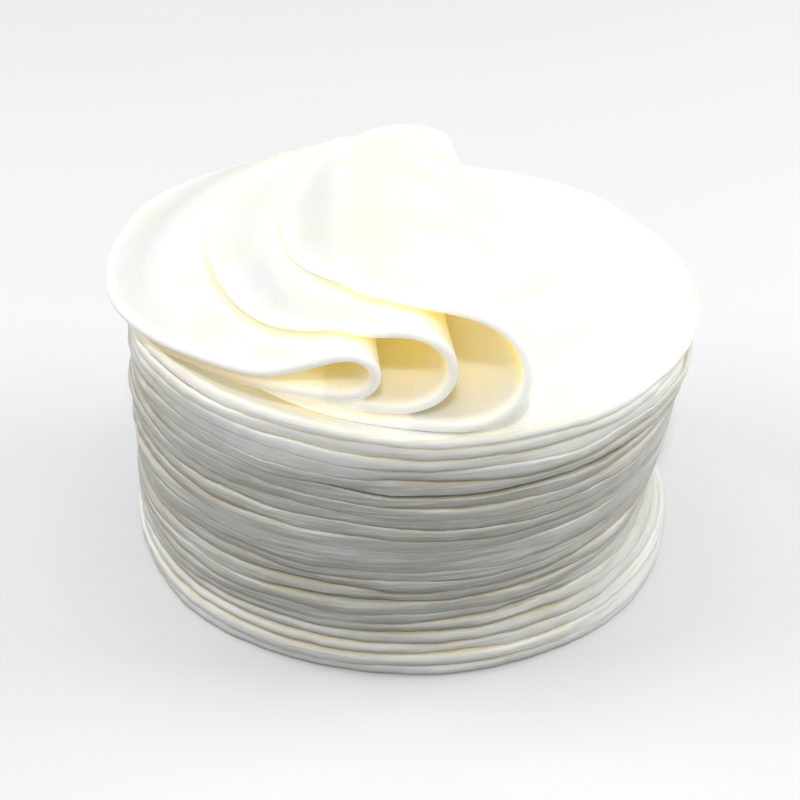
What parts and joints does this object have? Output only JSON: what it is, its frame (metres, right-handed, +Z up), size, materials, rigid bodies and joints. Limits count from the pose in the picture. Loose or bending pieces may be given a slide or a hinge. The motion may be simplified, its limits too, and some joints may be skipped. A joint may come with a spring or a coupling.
{
  "type": "stack of dumpling wrappers",
  "caption": "Stack of round rolled-dough dumpling wrappers, the top ones folded loosely over from right to left into nested open loops.",
  "frame": {"origin": "middle of the lowest wrapper's underside, where the stack rests", "axes": "+Z up out of the stack, +Y along the folds of the top wrappers towards their closed-up far end, +X towards the right, where the folds bend round"},
  "size_m": [0.085, 0.0824, 0.0557],
  "materials": {
    "flat_dough": "raw rolled dough, floured",
    "folded_dough": "raw rolled dough, smooth and lightly floured"
  },
  "bodies": {
    "root": {"flat_wrapper_01": "flat_dough", "flat_wrapper_02": "flat_dough", "flat_wrapper_03": "flat_dough", "flat_wrapper_04": "flat_dough", "flat_wrapper_05": "flat_dough", "flat_wrapper_06": "flat_dough", "flat_wrapper_07": "flat_dough", "flat_wrapper_08": "flat_dough", "flat_wrapper_09": "flat_dough", "flat_wrapper_10": "flat_dough", "flat_wrapper_11": "flat_dough", "flat_wrapper_12": "flat_dough", "flat_wrapper_13": "flat_dough", "flat_wrapper_14": "flat_dough", "flat_wrapper_15": "flat_dough", "flat_wrapper_16": "flat_dough", "flat_wrapper_17": "flat_dough", "flat_wrapper_18": "flat_dough", "flat_wrapper_19": "flat_dough", "flat_wrapper_20": "flat_dough", "flat_wrapper_21": "flat_dough", "flat_wrapper_22": "flat_dough", "folded_wrapper_outer": "folded_dough", "folded_wrapper_middle": "folded_dough", "folded_wrapper_inner": "folded_dough"}
  },
  "joints": []
}
